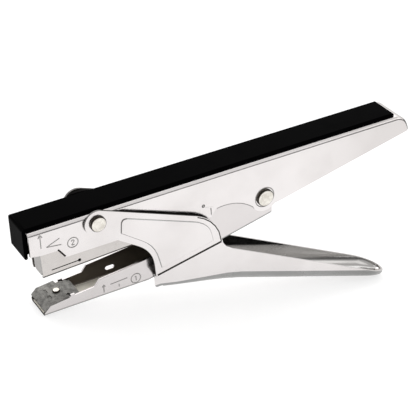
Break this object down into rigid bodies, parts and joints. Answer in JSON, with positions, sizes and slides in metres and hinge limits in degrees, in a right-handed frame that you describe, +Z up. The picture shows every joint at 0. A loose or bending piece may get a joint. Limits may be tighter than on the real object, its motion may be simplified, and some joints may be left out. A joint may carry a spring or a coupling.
{
  "type": "plier stapler",
  "caption": "Hand-held plier stapler: nickel-plated bar with black plastic top, hinged magazine and jaw, squeezed by a lower handle.",
  "frame": {"origin": "middle of the footprint, on the surface that the jaw tip and the handle tip stand on", "axes": "+X from the nose to the tail, +Y across the tool to its left side, +Z up"},
  "size_m": [0.1678, 0.0202, 0.0736],
  "materials": {
    "nickel_plate": "bright nickel plating over pressed sheet steel, polished, faint rolling lines",
    "cap_plastic": "moulded black plastic with a fine matt grain",
    "rivet_nickel": "warm nickel, faced flat by the riveting tool",
    "bare_steel": "bare ground steel, lightly oiled",
    "spring_wire": "drawn spring wire",
    "anvil_steel": "hardened dark grey steel, sandblasted",
    "staple_wire": "galvanised staple wire, glued in a strip",
    "nylon": "moulded grey nylon"
  },
  "bodies": {
    "upper": {"upper_body": "nickel_plate", "top_cap": "cap_plastic", "driver_block": "bare_steel", "driver_blade": "bare_steel", "driver_rivet": "bare_steel", "front_pivot_rivet": "rivet_nickel", "front_spacer_tube": "bare_steel", "rear_pivot_rivet": "rivet_nickel", "rear_pivot_bush": "bare_steel", "pivot_washer_left": "bare_steel", "pivot_washer_right": "bare_steel", "return_spring": "spring_wire"},
    "handle": {"lower_handle": "nickel_plate", "lifting_block": "nylon"},
    "jaw": {"lower_jaw": "nickel_plate", "anvil_plate": "anvil_steel", "anvil_spacer": "bare_steel", "anvil_rivet": "rivet_nickel"},
    "magazine": {"magazine_channel": "nickel_plate", "magazine_front_plate": "nickel_plate", "staple_rail": "bare_steel", "rail_rivet": "bare_steel", "staple_strip": "staple_wire", "spring_abutment": "bare_steel", "pusher_spring": "spring_wire", "catch_pin": "bare_steel", "magazine_yoke": "bare_steel"},
    "pusher": {"staple_pusher": "nylon", "pusher_rod": "bare_steel"}
  },
  "joints": [
    {"name": "handle_squeeze", "type": "hinge", "parent": "upper", "child": "handle", "pos_m": [-0.05753, 0, 0.03755], "axis": [0, -1, 0], "range_deg": [0, 15], "stiffness_Nm_per_rad": 1.5, "springref_deg": -20.05},
    {"name": "jaw_close", "type": "hinge", "parent": "upper", "child": "jaw", "pos_m": [0.01071, 0, 0.04262], "axis": [0, 1, 0], "range_deg": [0, 9.9], "deforming": ["return_spring"]},
    {"name": "magazine_press", "type": "hinge", "parent": "upper", "child": "magazine", "pos_m": [0.01071, 0, 0.04262], "axis": [0, 1, 0], "range_deg": [0, 3.4]},
    {"name": "pusher_slide", "type": "slide", "parent": "magazine", "child": "pusher", "axis": [0.9567, 0, 0.291], "range_m": [0, 0.016], "stiffness_N_per_m": 80, "springref_m": -0.02, "deforming": ["pusher_spring"]}
  ],
  "couplings": [
    {"joint": "jaw_close", "follows": "handle_squeeze", "ratio": 0.655},
    {"joint": "magazine_press", "follows": "handle_squeeze", "ratio": 0.219}
  ]
}
